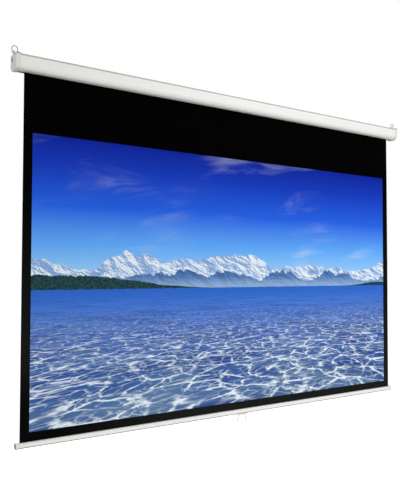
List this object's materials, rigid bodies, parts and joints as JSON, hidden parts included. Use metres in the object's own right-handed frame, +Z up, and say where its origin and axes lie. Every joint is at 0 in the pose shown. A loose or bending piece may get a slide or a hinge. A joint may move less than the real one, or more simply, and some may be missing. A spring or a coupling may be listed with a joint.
{
  "type": "projector screen",
  "caption": "Manual pull-down projector screen: a long case with a spring roller, a black-bordered cloth drawn down to a weighted bottom bar, a pull ring and hanging loops.",
  "frame": {"origin": "middle of the case's back, on the wall plane", "axes": "+X along the case, to the right for someone who looks at the picture; +Y into the wall; +Z up; the cloth hangs down along -Z"},
  "size_m": [2.4166, 0.0748, 1.7056],
  "materials": {
    "case_paint": "off-white powder coat, satin",
    "cap_plastic": "moulded, fine grain",
    "bar_cap_plastic": "moulded, fine grain",
    "handle_plastic": "moulded, light sheen",
    "black_cloth": "black, fine glass-fibre weave under matt PVC",
    "picture_coating": null,
    "wire_steel": "bright drawn wire",
    "plated_steel": "zinc plated",
    "painted_steel": "off-white powder coat, satin",
    "roller_aluminium": "mill finish",
    "nylon": "natural nylon"
  },
  "bodies": {
    "case": {"case_shell": "case_paint", "end_cap_left": "cap_plastic", "end_cap_right": "cap_plastic", "bracket_left": "plated_steel", "bracket_right": "plated_steel", "cap_screw_left_upper": "plated_steel", "cap_screw_left_lower": "plated_steel", "cap_screw_right_upper": "plated_steel", "cap_screw_right_lower": "plated_steel", "bearing_bush": "nylon", "spring_shaft": "plated_steel", "spring_anchor": "nylon", "torsion_spring": "wire_steel", "ratchet_disc": "plated_steel", "screen_fabric": "black_cloth", "viewing_surface": "picture_coating"},
    "roller": {"roller_tube": "roller_aluminium", "fabric_wraps": "black_cloth", "idle_plug": "nylon", "idle_pin": "plated_steel", "lock_plug": "nylon", "shaft_support": "nylon", "pawl_pin_a": "plated_steel", "pawl_pin_b": "plated_steel"},
    "pawl_a": {"pawl_a": "plated_steel"},
    "pawl_b": {"pawl_b": "plated_steel"},
    "bar": {"bottom_bar": "case_paint", "fabric_hem": "black_cloth", "hem_rod": "wire_steel", "bar_cap_left": "bar_cap_plastic", "bar_cap_right": "bar_cap_plastic", "bar_cap_screw_left": "plated_steel", "bar_cap_screw_right": "plated_steel", "handle_bracket": "painted_steel", "bracket_screw_left": "plated_steel", "bracket_screw_right": "plated_steel"},
    "handle": {"pull_handle": "handle_plastic"},
    "loop_left": {"hanging_loop_left": "wire_steel"},
    "loop_right": {"hanging_loop_right": "wire_steel"}
  },
  "joints": [
    {"name": "bar_lift", "type": "slide", "parent": "case", "child": "bar", "axis": [0, 0, 1], "range_m": [0, 1.528], "deforming": ["screen_fabric", "viewing_surface"]},
    {"name": "roller_spin", "type": "hinge", "parent": "case", "child": "roller", "pos_m": [0, -0.05002, 0], "axis": [1, 0, 0], "continuous": true},
    {"name": "handle_swing", "type": "hinge", "parent": "bar", "child": "handle", "pos_m": [0, -0.03342, -1.5926], "axis": [1, 0, 0], "range_deg": [-90, 90]},
    {"name": "loop_left_swing", "type": "hinge", "parent": "case", "child": "loop_left", "pos_m": [-1.19235, -0.03342, 0.0435], "axis": [1, 0, 0], "range_deg": [-100, 100]},
    {"name": "loop_right_swing", "type": "hinge", "parent": "case", "child": "loop_right", "pos_m": [1.19835, -0.03342, 0.0435], "axis": [1, 0, 0], "range_deg": [-100, 100]},
    {"name": "pawl_a_swing", "type": "hinge", "parent": "roller", "child": "pawl_a", "pos_m": [1.1511, -0.05002, 0.011], "axis": [1, 0, 0], "range_deg": [-8, 0]},
    {"name": "pawl_b_swing", "type": "hinge", "parent": "roller", "child": "pawl_b", "pos_m": [1.1511, -0.05002, -0.011], "axis": [1, 0, 0], "range_deg": [-8, 0]}
  ],
  "couplings": [
    {"joint": "roller_spin", "follows": "bar_lift", "rad_per_m": 54.7}
  ]
}
